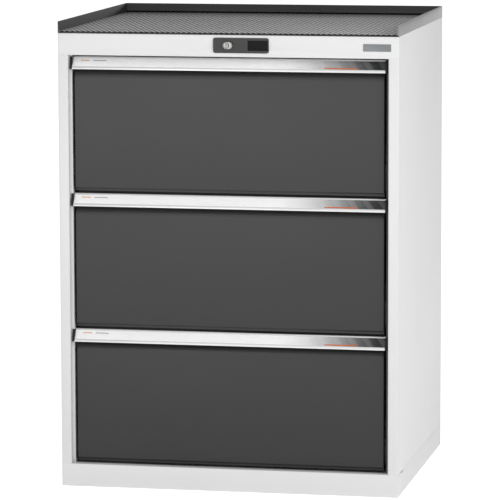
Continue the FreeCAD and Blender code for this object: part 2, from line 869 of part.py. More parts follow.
def slide_rollers(label, number):
    """Rollers of a drawer's two carriages: outer ones low at the rear, inner ones high at the front."""
    axle_drop = track_height / 2
    lower = slide_bottom(number) + axle_drop
    upper = slide_bottom(number) + slide_height - axle_drop
    first = slide_front + roller_inset
    last = slide_rear - roller_inset
    places = [
        (1, last, lower),
        (1, last - roller_spacing, lower),
        (-1, first, upper),
        (-1, first + roller_spacing, upper),
    ]
    rollers = []
    for side in (-1, 1):
        for way, deep, upward in places:
            roller = new_body("roller")
            near = carriage_middle + way * carriage_sheet / 2
            across = (side * near, side * (near + way * roller_width))
            pad(roller, "x", across, circle(deep, upward, roller_diameter))
            rollers.append(roller)
    return keep_group(label, rollers)


# Drawers


def drawer_tub(label, number):
    """Open drawer box with a folded hem on its sides and back."""
    body = new_body(label)
    low = field_bottom(number) + tub_lift
    high = low + tub_height
    near = face_front + drawer_sheet
    inside = (drawer_sheet - tub_half, tub_half - drawer_sheet)
    pad(body, "z", (low, high), rectangle((-tub_half, tub_half), (near, tub_rear)))
    deep = (near + drawer_sheet, tub_rear - drawer_sheet)
    pocket(body, "z", (low + drawer_sheet, high), rectangle(inside, deep))
    hem_front = face_front + face_depth + hem_setback

    def hem(width):
        """U-shaped strip outside the tub's sides and back."""
        side = tub_half + width
        return [
            (-side, hem_front),
            (-side, tub_rear + width),
            (side, tub_rear + width),
            (side, hem_front),
            (tub_half, hem_front),
            (tub_half, tub_rear),
            (-tub_half, tub_rear),
            (-tub_half, hem_front),
        ]

    pad(body, "z", (high - hem_height, high), hem(hem_width))
    pocket(body, "z", (high - hem_height, high - drawer_sheet), hem(hem_width - drawer_sheet))
    return keep(body)


def drawer_front(label, number):
    """Folded front pan, hollowed behind the handle, with a stepped lip along its bottom."""
    body = new_body(label)
    low = field_bottom(number)
    top = low + front_pitch - handle_gap - handle_wall
    grip_low = low + front_pitch - handle_gap - handle_height - grip_drop
    grip_high = grip_low + grip_depth
    step_top = low + face_lift
    step_low = step_top - joggle_rise
    rear = face_front + face_depth
    step = face_front + joggle_depth
    half_sheet = drawer_sheet / 2
    outside = [
        (grip_wall, top),
        (rear, top),
        (rear, low + lip_lift),
        (step, low + lip_lift),
        (step, step_low),
        (face_front, step_top),
        (face_front, grip_low),
        (grip_wall, grip_high),
    ]
    inside = [
        (grip_wall + drawer_sheet, top - drawer_sheet),
        (rear, top - drawer_sheet),
        (rear, low + lip_lift + drawer_sheet),
        (step + drawer_sheet, low + lip_lift + drawer_sheet),
        (step + drawer_sheet, step_low + half_sheet),
        (face_front + drawer_sheet, step_top + half_sheet),
        (face_front + drawer_sheet, grip_low - half_sheet),
        (grip_wall + drawer_sheet, grip_high - half_sheet),
    ]
    pad(body, "x", (-face_half, face_half), outside)
    pocket(body, "x", (drawer_sheet - face_half, face_half - drawer_sheet), inside)
    round_edges(body, "z", drawer_sheet, [(-face_half, face_front), (face_half, face_front)])
    return keep(body)


def lock_catch(label, number):
    """Angle on the drawer's right side that the raised hook stands in front of."""
    body = new_body(label)
    low = hook_bottom(number) + hook_height + hook_clearance
    near = hook_rear + catch_gap
    span = (low, low + catch_height)
    foot = rectangle((tub_half, tub_half + catch_sheet), (near, near + catch_length))
    pad(body, "z", span, foot)
    blade_reach = ledge_half - catch_gap
    pad(body, "z", span, rectangle((tub_half + catch_sheet, blade_reach), (near, near + catch_sheet)))
    return keep(body)


# Handles


class HandleSection:
    """The handle's section in Y and Z, with its slanting label face."""

    def __init__(self, number):
        self.top = field_bottom(number) + front_pitch - handle_gap
        self.run = handle_reach - handle_brow
        self.fall = handle_height - handle_bead_height
        self.slope = root(self.run * self.run + self.fall * self.fall)

    def on_face(self, along, inward):
        """Point along the slanting face from its top edge, and inward from it."""
        deep = grip_wall - handle_brow - self.run * along / self.slope + self.fall * inward / self.slope
        upward = self.top - self.fall * along / self.slope - self.run * inward / self.slope
        return deep, upward

    def bead(self):
        """The lower front edge, from the slanting face round to the underside."""
        low = self.top - handle_height
        nose = grip_wall - handle_reach
        return [(nose, low + handle_bead_height), (nose, low), (nose + handle_bead_depth, low)]

    def metal(self):
        """Outline of the extruded profile."""
        thick = label_recess + handle_wall
        window_end = self.slope - handle_bead
        web = grip_wall - handle_wall
        along = (handle_wall - self.run * thick / self.slope) * self.slope / self.fall
        brow_low = self.top - handle_wall
        return [
            (grip_wall + handle_hook, self.top),
            (grip_wall + handle_hook, brow_low),
            (grip_wall, brow_low),
            (grip_wall, self.top - handle_flange),
            (web, self.top - handle_flange),
            (web, brow_low),
            (self.on_face(along, thick)[0], brow_low),
            self.on_face(window_end, thick),
            *reversed(self.bead()),
            self.on_face(window_end, as_length(0)),
            self.on_face(window_end, label_recess),
            self.on_face(handle_lip, label_recess),
            self.on_face(handle_lip, as_length(0)),
            (grip_wall - handle_brow, self.top),
        ]

    def layer(self, lower, upper):
        """Outline of a strip in the label channel, between two heights above the channel's floor."""
        start = handle_lip + fit_gap
        end = self.slope - handle_bead - fit_gap
        return [
            self.on_face(start, label_recess - lower),
            self.on_face(end, label_recess - lower),
            self.on_face(end, label_recess - upper),
            self.on_face(start, label_recess - upper),
        ]

    def cap(self):
        """Outline of an end cap, which stands in front of the stile's ledge."""
        low = self.top - handle_height
        rear = face_front - cap_gap
        bead = self.bead()
        return [(rear, self.top), (face_front - cap_brow, self.top), bead[0], bead[1], (rear, low)]


def drawer_handle(label, number):
    """Extruded grip across the top of the drawer's front."""
    body = new_body(label)
    section = HandleSection(number)
    pad(body, "x", (-handle_half, handle_half), section.metal())
    round_edges(body, "x", bead_radius, section.bead())
    return keep(body)


def handle_caps(label, number):
    """End caps of a handle."""
    section = HandleSection(number)
    caps = []
    for side in (-1, 1):
        cap = new_body("handle_cap")
        pad(cap, "x", (side * handle_half, side * (handle_half + cap_width)), section.cap())
        round_edges(cap, "x", bead_radius, section.bead()[:2])
        caps.append(cap)
    return keep_group(label, caps)


def label_strip(label, number):
    """Card strip on the floor of the handle's label channel."""
    body = new_body(label)
    section = HandleSection(number)
    pad(body, "x", (-handle_half, handle_half), section.layer(as_length(0), label_sheet))
    return keep(body)


def label_cover(label, number):
    """Clear strip over the card."""
    body = new_body(label)
    section = HandleSection(number)
    outline = section.layer(label_sheet, label_sheet + label_window)
    pad(body, "x", (-handle_half, handle_half), outline)
    return keep(body)


def build_cabinet():
    """Every sub-part, from the plinth up and from the housing to the drawers."""
    base_frame()
    floor_panel()
    side_panel("side_panel_left", -1)
    side_panel("side_panel_right", 1)
    back_panel()
    front_fascia()
    top_panel()
    rail_posts()
    tray()
    rubber_mat()
    lock_plate()
    lock_housing()
    lock_nut()
    lock_barrel()
    lock_cross_bar()
    lock_bar()
    lock_hooks()
    lock_guides()
    for number in range(1, drawer_count + 1):
        for side, hand in ((-1, "left"), (1, "right")):
            cabinet_rail(f"cabinet_rail_{number}_{hand}", number, side)
            slide_carriage(f"slide_carriage_{number}_{hand}", number, side)
            drawer_rail(f"drawer_rail_{number}_{hand}", number, side)
        slide_rollers(f"slide_rollers_{number}", number)
        drawer_tub(f"drawer_tub_{number}", number)
        drawer_front(f"drawer_front_{number}", number)
        drawer_handle(f"drawer_handle_{number}", number)
        handle_caps(f"handle_caps_{number}", number)
        label_strip(f"label_strip_{number}", number)
        label_cover(f"label_cover_{number}", number)
        lock_catch(f"lock_catch_{number}", number)


def check_document():
    """Stop if any object failed, any pocket cut nothing or any sub-part isn't sound."""
    for item in document.Objects:
        if "Invalid" in item.State or "Error" in item.State:
            raise RuntimeError(f"{item.Label} failed: {item.State}")
        if item.TypeId == "PartDesign::Pocket":
            if item.Shape.Volume > item.BaseFeature.Shape.Volume - least_cut:
                raise RuntimeError(f"{item.Label} of {item.getParent().Label} cuts nothing")
    for piece in sub_parts:
        if piece.Shape.isNull() or not piece.Shape.isValid():
            raise RuntimeError(f"{piece.Label} isn't a sound shape")


build_cabinet()
document.recompute()
check_document()
os.makedirs("parts", exist_ok=True)
for piece in sub_parts:
    piece.Shape.exportStep(f"parts/{piece.Label}.step")
print(len(sub_parts), "sub-parts written")
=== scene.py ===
# %% [markdown]
# # A tool cabinet, dressed in Blender
#
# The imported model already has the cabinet's true sizes: folded panels, roller slides, drawers
# and a lock. This lesson gives it the looks. Sheet steel gets the soft edges that paint leaves,
# the mat gets its lattice, and each finish gets a material that is made of nodes.

# %% Load the frame
import json
import math

import bmesh
import bpy
from mathutils import Matrix, Vector


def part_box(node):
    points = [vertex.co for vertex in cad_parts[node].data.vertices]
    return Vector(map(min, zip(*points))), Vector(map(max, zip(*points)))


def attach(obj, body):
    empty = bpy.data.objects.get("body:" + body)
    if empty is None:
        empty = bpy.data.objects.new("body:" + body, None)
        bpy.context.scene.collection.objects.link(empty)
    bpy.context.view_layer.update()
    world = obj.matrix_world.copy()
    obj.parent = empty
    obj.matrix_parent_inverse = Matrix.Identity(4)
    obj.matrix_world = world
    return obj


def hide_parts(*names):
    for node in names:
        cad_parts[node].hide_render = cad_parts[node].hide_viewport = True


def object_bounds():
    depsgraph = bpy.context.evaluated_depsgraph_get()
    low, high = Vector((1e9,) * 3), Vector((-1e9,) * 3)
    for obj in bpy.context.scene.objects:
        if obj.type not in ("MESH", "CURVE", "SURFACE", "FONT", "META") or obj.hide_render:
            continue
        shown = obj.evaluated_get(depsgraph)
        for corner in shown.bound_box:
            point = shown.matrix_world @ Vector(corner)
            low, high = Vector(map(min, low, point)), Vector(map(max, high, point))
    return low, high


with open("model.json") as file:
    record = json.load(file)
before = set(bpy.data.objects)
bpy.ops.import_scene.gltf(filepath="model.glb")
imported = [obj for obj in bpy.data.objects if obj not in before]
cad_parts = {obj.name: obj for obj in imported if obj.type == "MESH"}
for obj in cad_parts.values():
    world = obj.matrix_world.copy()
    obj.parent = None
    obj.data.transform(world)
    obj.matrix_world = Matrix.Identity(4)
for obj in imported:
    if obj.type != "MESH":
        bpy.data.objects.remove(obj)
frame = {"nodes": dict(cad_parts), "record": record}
cad_low, cad_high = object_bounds()
nodes = frame["nodes"]
record = frame["record"]
scene = bpy.context.scene
MM = 0.001
WELD = 0.002 * MM
drawers = (1, 2, 3)

# %% [markdown]
# ## Small helpers
#
# Every finished piece has its place in its mesh and rides on one of the cabinet's bodies, so a
# drawer's piece moves with its drawer. One helper does both and names the finish that the piece
# takes. A second one turns modifiers into a plain mesh, and a third one shades curved faces
# smooth while real edges stay sharp.

# %% Place a piece on a body
body_of = {node: body for body, members in record["behaviour"]["bodies"].items() for node in members}
slot_of = {entry["node"]: entry["material_slot"] for entry in record["subparts"]}


def finished(piece, body, material):
    """Let a piece ride on a body, with its finish."""
    piece.data.materials.clear()
    piece.data.materials.append(material)
    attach(piece, body)
    return piece


def new_piece(name, mesh):
    """An object for a mesh that is already in place."""
    piece = bpy.data.objects.new(name, mesh)
    scene.collection.objects.link(piece)
    return piece


def baked(piece):
    """The piece with its modifiers turned into a plain mesh."""
    bpy.context.view_layer.update()
    evaluated = piece.evaluated_get(bpy.context.evaluated_depsgraph_get())
    mesh = bpy.data.meshes.new_from_object(evaluated)
    mesh.name = piece.name
    piece.modifiers.clear()
    piece.data = mesh
    return piece


def smoothed(piece):
    """The piece with smooth shading across its rounds and sharp edges elsewhere."""
    piece.data.shade_smooth()
    piece.data.set_sharp_from_angle(angle=math.radians(35))
    return piece


# %% [markdown]
# ## Soft edges
#
# A painted or pressed edge is never razor sharp: it is a small round that catches a line of
# light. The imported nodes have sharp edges, so each visible one gets a copy whose corners are
# joined and then rounded by a Bevel modifier. The modifier looks at the angle between faces, so
# flat faces and the folds that are already round stay as they are. A drawer's front has one wide
# fold behind the handle, which is rounded first, on its own.

# %% Round the edges of a node
def joined_copy(name):
    """A copy of a node's mesh with its loose triangles joined into faces."""
    mesh = nodes[name].data.copy()
    shape = bmesh.new()
    shape.from_mesh(mesh)
    bmesh.ops.remove_doubles(shape, verts=shape.verts, dist=WELD)
    bmesh.ops.dissolve_limit(shape, angle_limit=math.radians(0.5), verts=shape.verts, edges=shape.edges)
    shape.to_mesh(mesh)
    shape.free()
    if "custom_normal" in mesh.attributes:
        mesh.attributes.remove(mesh.attributes["custom_normal"])
    return mesh


def round_top_fold(mesh, reach):
    """Round the fold where a front's flat face turns back to the sloping top."""
    near = 0.1 * MM
    shape = bmesh.new()
    shape.from_mesh(mesh)
    face_y = min(vertex.co.y for vertex in shape.verts)
    face = [vertex for vertex in shape.verts if vertex.co.y < face_y + near]
    top = max(vertex.co.z for vertex in face)
    fold = {vertex for vertex in face if vertex.co.z > top - near}
    edges = [edge for edge in shape.edges if set(edge.verts) <= fold]
    bmesh.ops.bevel(shape, geom=edges, offset=reach, segments=6, profile=0.5, affect="EDGES")
    shape.to_mesh(mesh)
    shape.free()


def soften(name, width, material, fold=0.0):
    """Stand a copy with rounded edges in for a node; widths are in millimetres."""
    piece = new_piece(f"{name}_soft", joined_copy(name))
    if fold:
        round_top_fold(piece.data, fold * MM)
    bevel = piece.modifiers.new("Rounded edges", "BEVEL")
    bevel.width = width * MM
    bevel.segments = 2
    bevel.limit_method = "ANGLE"
    bevel.angle_limit = math.radians(38)
    bevel.use_clamp_overlap = True
    smoothed(baked(piece))
    finished(piece, body_of[name], material)
    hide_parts(name)


# %% [markdown]
# ## Nodes in few words
#
# A material is a small chain of nodes. Each helper here adds one kind of node, joins its inputs
# and hands back its output, so that the chains below read like sums.

# %% Helpers for nodes
def node(tree, kind, **settings):
    """A node with some of its properties set."""
    made = tree.nodes.new(kind)
    for name, value in settings.items():
        setattr(made, name, value)
    return made


def feed(tree, socket, term):
    """Give a socket a plain number or colour, or the output of another node."""
    if isinstance(term, (int, float, tuple)):
        socket.default_value = term
    else:
        tree.links.new(term, socket)


def object_place(tree):
    """Object coordinates, which are the cabinet's own metres."""
    return node(tree, "ShaderNodeTexCoord").outputs["Object"]


def separate(tree, place):
    """The three parts of a place."""
    made = node(tree, "ShaderNodeSeparateXYZ")
    tree.links.new(place, made.inputs[0])
    return made.outputs


def noise(tree, place, scale, detail):
    """A noise texture's value at a place."""
    made = node(tree, "ShaderNodeTexNoise")
    made.inputs["Scale"].default_value = scale
    made.inputs["Detail"].default_value = detail
    tree.links.new(place, made.inputs["Vector"])
    return made.outputs["Fac"]


def ranged(tree, value, low, high, to_low, to_high, curve="LINEAR"):
    """A value carried from one range to another."""
    made = node(tree, "ShaderNodeMapRange", interpolation_type=curve)
    made.inputs["From Min"].default_value = low
    made.inputs["From Max"].default_value = high
    made.inputs["To Min"].default_value = to_low
    made.inputs["To Max"].default_value = to_high
    tree.links.new(value, made.inputs["Value"])
    return made.outputs["Result"]


def swing(tree, texture, size):
    """A noise value that now swings between minus and plus a size."""
    return ranged(tree, texture, 0.3, 0.7, -size, size)


def maths(tree, operation, first, second):
    """One sum of two values or numbers."""
    made = node(tree, "ShaderNodeMath", operation=operation)
    feed(tree, made.inputs[0], first)
    feed(tree, made.inputs[1], second)
    return made.outputs[0]


def repeated(tree, value, period):
    """A value that starts again at nought after each period."""
    made = node(tree, "ShaderNodeMath", operation="WRAP")
    for socket, term in zip(made.inputs, (value, period, 0.0)):
        feed(tree, socket, term)
    return made.outputs[0]


def within(tree, value, low, high, soft=0.1 * MM):
    """One between two limits and nought outside, with a thin soft edge."""
    rising = ranged(tree, value, low - soft, low + soft, 0.0, 1.0)
    falling = ranged(tree, value, high - soft, high + soft, 1.0, 0.0)
    return maths(tree, "MULTIPLY", rising, falling)


def mixed(tree, factor, first, second):
    """A mix of two colours by a factor."""
    made = node(tree, "ShaderNodeMix", data_type="RGBA")
    for index, term in ((0, factor), (6, first), (7, second)):
        feed(tree, made.inputs[index], term)
    return made.outputs[2]


# %% [markdown]
# ## Effects that finishes share
#
# A node group is built once and used by several materials with other values. The first one is
# paint: powder coat dries with a faint orange peel, and its tone drifts a little over a wide
# sheet. Its tone can also rise with height or lean to one side; both are painted light, lighter
# where more light falls from above or from one side. The second is drawn metal, whose fine
# lines all run the same way.

# %% Build a node group
def new_group(name, inputs):
    """An empty shader node group with named inputs that puts out colour, roughness and height."""
    group = bpy.data.node_groups.new(name, "ShaderNodeTree")
    for label, value in inputs.items():
        kind = "NodeSocketColor" if isinstance(value, tuple) else "NodeSocketFloat"
        group.interface.new_socket(label, in_out="INPUT", socket_type=kind).default_value = value
    for label, kind in (("Colour", "Color"), ("Roughness", "Float"), ("Height", "Float")):
        group.interface.new_socket(label, in_out="OUTPUT", socket_type=f"NodeSocket{kind}")
    return group, group.nodes.new("NodeGroupInput").outputs


def put_out(group, colour, tone, rough, height):
    """Scale a colour by a tone and join the group's outputs."""
    scaled = node(group, "ShaderNodeVectorMath", operation="SCALE")
    group.links.new(colour, scaled.inputs[0])
    group.links.new(tone, scaled.inputs["Scale"])
    outside = group.nodes.new("NodeGroupOutput").inputs
    for label, source in (("Colour", scaled.outputs[0]), ("Roughness", rough), ("Height", height)):
        group.links.new(source, outside[label])
    print(group.name, "group:", len(group.nodes), "nodes")


MID_GREY = (0.6, 0.6, 0.6, 1.0)

# %% The powder coat group
powder, given = new_group(
    "Powder coat",
    {"Colour": MID_GREY, "Drift": 0.04, "Painted light rise": 0.0, "Painted light lean": 0.0, "Roughness": 0.4, "Peel": 1.0},
)
place = object_place(powder)
across, deep, upward = separate(powder, place)
wide = noise(powder, place, 3.0, 3.0)
fine = noise(powder, place, 420.0, 2.0)
peel = noise(powder, place, 900.0, 1.0)
drift = maths(powder, "MULTIPLY", swing(powder, wide, 1.0), given["Drift"])
speck = maths(powder, "MULTIPLY", swing(powder, fine, 1.0), given["Drift"])
uneven = maths(powder, "ADD", drift, maths(powder, "MULTIPLY", speck, 0.6))
# Painted light: the tone rises with height and leans to one side, lighter where more light falls.
painted_light_rise = maths(powder, "MULTIPLY", maths(powder, "SUBTRACT", upward, 0.5), given["Painted light rise"])
painted_light_lean = maths(powder, "MULTIPLY", across, given["Painted light lean"])
painted_light_slopes = maths(powder, "ADD", painted_light_rise, painted_light_lean)
tone = maths(powder, "ADD", maths(powder, "ADD", uneven, painted_light_slopes), 1.0)
rough = maths(powder, "ADD", given["Roughness"], swing(powder, wide, 0.04))
put_out(powder, given["Colour"], tone, rough, maths(powder, "MULTIPLY", peel, given["Peel"]))

# %% The drawn metal group
drawn, given = new_group("Drawn metal", {"Colour": MID_GREY, "Streaks": 0.06, "Roughness": 0.35})
stretch = node(drawn, "ShaderNodeMapping")
stretch.inputs["Scale"].default_value = (4.0, 700.0, 700.0)
drawn.links.new(object_place(drawn), stretch.inputs["Vector"])
lines = noise(drawn, stretch.outputs["Vector"], 1.0, 3.0)
streaks = maths(drawn, "MULTIPLY", swing(drawn, lines, 1.0), given["Streaks"])
rough = maths(drawn, "ADD", given["Roughness"], swing(drawn, lines, 0.08))
put_out(drawn, given["Colour"], maths(drawn, "ADD", streaks, 1.0), rough, lines)

# %% [markdown]
# ## Finishes
#
# Each finish is one material with its own Principled shader. Housing paint is a light grey
# powder coat, the fronts and the tray have a charcoal one. Numbers that are the same all over
# a surface sit on the shader's own sockets; only what changes over the surface comes from the
# groups.

# %% Make a material around a group
BUMP_REACH = 0.2 * MM


def material(name, group, values, metallic=0.0, specular=0.5, bump=0.0):
    """A Principled material fed by one of the groups."""
    made = bpy.data.materials.new(name)
    made.use_nodes = True
    tree = made.node_tree
    shader = tree.nodes["Principled BSDF"]
    shader.inputs["Metallic"].default_value = metallic
    shader.inputs["Specular IOR Level"].default_value = specular
    effect = node(tree, "ShaderNodeGroup", node_tree=group)
    for label, value in values.items():
        effect.inputs[label].default_value = value
    tree.links.new(effect.outputs["Colour"], shader.inputs["Base Color"])
    tree.links.new(effect.outputs["Roughness"], shader.inputs["Roughness"])
    if bump:
        raised = node(tree, "ShaderNodeBump")
        raised.inputs["Strength"].default_value = bump
        raised.inputs["Distance"].default_value = BUMP_REACH
        tree.links.new(effect.outputs["Height"], raised.inputs["Height"])
        tree.links.new(raised.outputs["Normal"], shader.inputs["Normal"])
    return made


def coated(name, colour, roughness, drift=0.04, painted_light_rise=0.0, painted_light_lean=0.0, **numbers):
    """A finish from the powder coat group."""
    values = {"Colour": colour, "Drift": drift, "Painted light rise": painted_light_rise, "Painted light lean": painted_light_lean, "Roughness": roughness}
    return material(name, powder, values, **numbers)


def metal(name, colour, roughness, streaks=0.05, metallic=1.0, bump=0.05):
    """A finish from the drawn metal group."""
    values = {"Colour": colour, "Streaks": streaks, "Roughness": roughness}
    return material(name, drawn, values, metallic=metallic, bump=bump)


def grey(value, warmth=0.0):
    """A colour of one brightness, a little warm or cool."""
    return (value * (1 + warmth), value, value * (1 - warmth), 1.0)


# %% The finishes
BLACK = grey(0.004)
housing_paint = coated("Housing paint", grey(0.47), 0.42, drift=0.01, bump=0.12)
# The fronts' rise is painted light: lighter towards the top and darker towards the floor.
front_paint = coated("Front paint", grey(0.018), 0.5, drift=0.05, painted_light_rise=0.5, specular=0.35, bump=0.2)
tray_paint = coated("Tray paint", grey(0.010), 0.22, drift=0.05, specular=0.38, bump=0.1)
tub_paint = coated("Tub paint", grey(0.45), 0.5, drift=0.03, bump=0.15)
badge_grey = coated("Name plate", grey(0.13, -0.05), 0.4, drift=0.03, bump=0.1)
plate_paint = coated("Lock plate paint", grey(0.042), 0.55, drift=0.03, specular=0.1, bump=0.1)
black_plastic = coated("Black plastic", BLACK, 0.5, drift=0.1, specular=0.2, bump=0.3)
# A black with no shine, for a painted shadow.
shadow_black = coated("Shadow black", BLACK, 0.9, specular=0.0, bump=0.3)
nylon = coated("Nylon", grey(0.5, 0.02), 0.4, drift=0.02, bump=0.05)
# The rubber's lean is painted light: lighter towards the right, where the light falls from.
rubber = coated("Rubber", grey(0.42), 0.55, drift=0.08, painted_light_lean=0.5, bump=0.3)
# A darker copy of the zinc steel: painted shade for steel in the gaps beside the drawers.
shaded_gap_steel = metal("Shaded gap steel", grey(0.1), 0.45, streaks=0.1, metallic=0.8)
zinc = metal("Zinc steel", grey(0.45), 0.4)
handle_metal = metal("Handle metal", grey(0.55), 0.35, streaks=0.015, metallic=0.3)
nickel = metal("Nickel", grey(0.2, 0.02), 0.3, bump=0.0)
print(len(bpy.data.materials), "materials")

# %% [markdown]
# ### Printed label strips
#
# The strip under each handle's clear cover is light card that turns dark towards its right end.
# The print here is a plain one: faint slanting bars in the dark end, a thin orange line and two
# short marks at the left. Each bar is a step of one slanted coordinate and each mark is a box, so
# the pattern is sharp at any distance. The fronts repeat every 300 mm, so one height that starts
# again at each front prints all three strips alike.

# %% Label card
FRONT_PITCH = 300 * MM
PALE_CARD, DARK_CARD = (0.95, 0.95, 0.95, 1.0), (0.012, 0.013, 0.014, 1.0)
bars_per_metre, bar_slant, bar_share, bar_depth = 30.0, 0.9, 0.4, -0.06
prints = (
    # left, right, low, high, ink
    (0.212, 0.284, 0.0290, 0.0312, (0.62, 0.13, 0.015, 1.0)),
    (-0.300, -0.270, 0.0395, 0.0415, (0.45, 0.45, 0.45, 1.0)),
    (-0.328, -0.308, 0.0395, 0.0415, (0.8, 0.42, 0.25, 1.0)),
)
card = bpy.data.materials.new("Label card")
card.use_nodes = True
tree = card.node_tree
shader = tree.nodes["Principled BSDF"]
shader.inputs["Roughness"].default_value = 0.5
shader.inputs["Specular IOR Level"].default_value = 0.3
across, deep, upward = separate(tree, object_place(tree))
height = repeated(tree, upward, FRONT_PITCH)
fade = ranged(tree, across, 0.095, 0.335, 0.0, 1.0, "SMOOTHSTEP")
slanted = maths(tree, "ADD", across, maths(tree, "MULTIPLY", height, bar_slant))
bars = maths(tree, "FRACT", maths(tree, "MULTIPLY", slanted, bars_per_metre), 0.0)
bars = maths(tree, "LESS_THAN", bars, bar_share)
faint = maths(tree, "MULTIPLY", bars, maths(tree, "MULTIPLY", fade, bar_depth))
printed = mixed(tree, maths(tree, "ADD", fade, faint), PALE_CARD, DARK_CARD)
for left, right, low, high, ink in prints:
    spot = maths(tree, "MULTIPLY", within(tree, across, left, right), within(tree, height, low, high))
    printed = mixed(tree, spot, printed, ink)
tree.links.new(printed, shader.inputs["Base Color"])
print("label card:", len(tree.nodes), "nodes")

# %% A clear strip over the labels
clear = bpy.data.materials.new("Clear strip")
clear.use_nodes = True
shader = clear.node_tree.nodes["Principled BSDF"]
shader.inputs["Base Color"].default_value = grey(0.2)
shader.inputs["Roughness"].default_value = 0.15
shader.inputs["Alpha"].default_value = 0.04

# %% [markdown]
# ### Places that have another colour, or painted light and shade
#
# Some finishes change colour at a place: the lock plate has a sunk panel that is black. Some
# places have painted shade or light: the mat is black below the tops of its ribs, painted shade
# in its hollows, and darker towards the back, a painted shadow of the back rim; the tray's
# right rim has painted light, paler outside and at its front end. Each place is a box or a slope
# in the cabinet's own coordinates, and the other colour is mixed over the finish's own by that
# amount.

# %% Mix another colour over a finish
def overpaint(finish_of, amount, other):
    """Mix another colour over a finish's own by an amount that changes over the surface."""
    tree = finish_of.node_tree
    base = tree.nodes["Principled BSDF"].inputs["Base Color"]
    tree.links.new(mixed(tree, amount, base.links[0].from_socket, other), base)


# %% The lock plate's sunk panel
tree = plate_paint.node_tree
across, deep, upward = separate(tree, object_place(tree))
panel_across, panel_up = (0.0464, 0.0906), (0.9669, 0.9891)
panel = maths(tree, "MULTIPLY", within(tree, across, *panel_across), within(tree, upward, *panel_up))
overpaint(plate_paint, panel, BLACK)

# %% Painted shade on the mat: black below the ribs' tops and darker towards the back rim
mat_low, mat_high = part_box("rubber_mat")
rib_top = mat_high.z
tree = rubber.node_tree
across, deep, upward = separate(tree, object_place(tree))
outside_painted_shade = ranged(tree, upward, rib_top - 0.5 * MM, rib_top - 0.1 * MM, 0.0, 1.0)
outside_painted_shade = maths(tree, "MULTIPLY", outside_painted_shade, ranged(tree, deep, -0.3, 0.15, 1.0, 0.75))
outside_painted_shade = maths(tree, "MULTIPLY", outside_painted_shade, ranged(tree, deep, 0.15, 0.322, 1.0, 0.25))
overpaint(rubber, maths(tree, "SUBTRACT", 1.0, outside_painted_shade), BLACK)

# %% Painted light on the tray's right rim: paler outside, most of all at its front end
RIM_LIGHT_COLOUR, RIM_LIGHT_SHARE = grey(0.7), 0.18
tree = tray_paint.node_tree
across, deep, upward = separate(tree, object_place(tree))
# Painted light on the rim's outer face, strongest towards the front.
painted_side_light = ranged(tree, across, 0.3740, 0.3748, 0.0, 1.0)
painted_side_light = maths(tree, "MULTIPLY", painted_side_light, ranged(tree, deep, -0.3, 0.323, RIM_LIGHT_SHARE, 0.02))
# The rim's front end face gets a painted highlight.
end = maths(tree, "MULTIPLY", within(tree, across, 0.3, 0.3745), within(tree, deep, -0.33, -0.3156))
end = maths(tree, "MULTIPLY", end, within(tree, upward, 1.003, 1.03))
overpaint(tray_paint, maths(tree, "ADD", painted_side_light, maths(tree, "MULTIPLY", end, RIM_LIGHT_SHARE)), RIM_LIGHT_COLOUR)
print("the mat's ribs end at", round(rib_top / MM, 1), "mm")

# %% [markdown]
# ## Finish every node
#
# The material slot that the record names says what each node is made of, so a small table
# from slot to finish dresses the whole cabinet. Steel parts that show in the gaps beside the
# drawers get a darker copy of the steel instead: painted shade for the shade in those gaps.

# %% Dress the nodes
finish = {
    "light_paint": housing_paint,
    "dark_paint": front_paint,
    "grey_paint": tub_paint,
    "zinc_steel": zinc,
    "handle_aluminium": handle_metal,
    "black_plastic": black_plastic,
    "label_card": card,
    "clear_plastic": clear,
    "roller_plastic": nylon,
    "grey_plate": plate_paint,
    "nickel": nickel,
    "rubber": rubber,
}
SHADED_IN_GAPS = ("cabinet_rail", "lock_catch", "lock_hooks", "lock_bar")
for name, made in nodes.items():
    made.data.materials.clear()
    made.data.materials.append(shaded_gap_steel if name.startswith(SHADED_IN_GAPS) else finish[slot_of[name]])

# %% Soften the visible nodes
for name in ("base_frame", "side_panel_left", "side_panel_right", "front_fascia", "back_panel"):
    soften(name, 0.35, housing_paint)
soften("tray", 0.6, tray_paint)
soften("lock_plate", 0.5, plate_paint)
soften("lock_housing", 0.7, nickel)
soften("lock_barrel", 0.3, nickel)
for number in drawers:
    soften(f"drawer_front_{number}", 0.3, front_paint, fold=8.0)
    soften(f"drawer_tub_{number}", 0.3, tub_paint)
    soften(f"drawer_handle_{number}", 0.3, handle_metal)
    soften(f"handle_caps_{number}", 0.4, black_plastic)

# %% [markdown]
# ## The mat
#
# The mat is a lattice: two families of ribs cross and leave long diamond-shaped hollows. One
# hollow with the half ribs round it is a rhombus, and staggered rhombi fill the plane. Geometry
# Nodes make the rhombus and repeat it; then the sheet is cut to the tray's inside. A whole number
# of hollows fits from front to back, so both edges cut them alike.

# %% The mat's sizes
hollow_pitch = 11.8 * MM
hollow_length = (mat_high.y - mat_low.y) / 21
hollow_floor = mat_low.z + 1.0 * MM
rib_share = 0.27

# %% The mat's geometry nodes and their inputs
lattice = bpy.data.node_groups.new("Mat lattice", "GeometryNodeTree")
for label, kind in (
    ("Pitch", "Float"),
    ("Length", "Float"),
    ("Depth", "Float"),
    ("Rib", "Float"),
    ("Across", "Int"),
    ("Along", "Int"),
    ("Finish", "Material"),
):
    lattice.interface.new_socket(label, in_out="INPUT", socket_type=f"NodeSocket{kind}")
lattice.interface.new_socket("Geometry", in_out="OUTPUT", socket_type="NodeSocketGeometry")
given = lattice.nodes.new("NodeGroupInput").outputs


def linked(source, target):
    """Join two sockets of the lattice."""
    lattice.links.new(source, target)


def times(first, second):
    """A product in the lattice."""
    return maths(lattice, "MULTIPLY", first, second)


